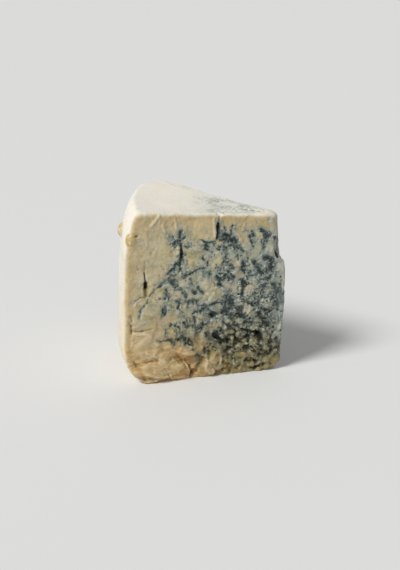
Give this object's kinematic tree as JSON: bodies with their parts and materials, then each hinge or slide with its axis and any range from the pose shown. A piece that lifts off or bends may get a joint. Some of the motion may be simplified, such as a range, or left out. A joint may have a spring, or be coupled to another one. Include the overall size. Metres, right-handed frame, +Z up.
{
  "type": "blue cheese wedge",
  "caption": "Tall wedge of blue-veined cheese cut from a round, with a pale rounded rind, a level top and crumbly cut faces, standing on its flat base.",
  "frame": {"origin": "middle of the base, on the surface that the wedge stands on", "axes": "+Z up, the height of the round; the front cut runs along X and faces -Y; the thin edge of the wedge, which was the middle of the round, is at +X and the rind at -X"},
  "size_m": [0.1246, 0.0902, 0.1339],
  "materials": {
    "cheese": "moist, crumbly paste with blue-green mould veins, and a pale skin on the rind and the top"
  },
  "bodies": {
    "root": {"cheese_wedge": "cheese"}
  },
  "joints": []
}
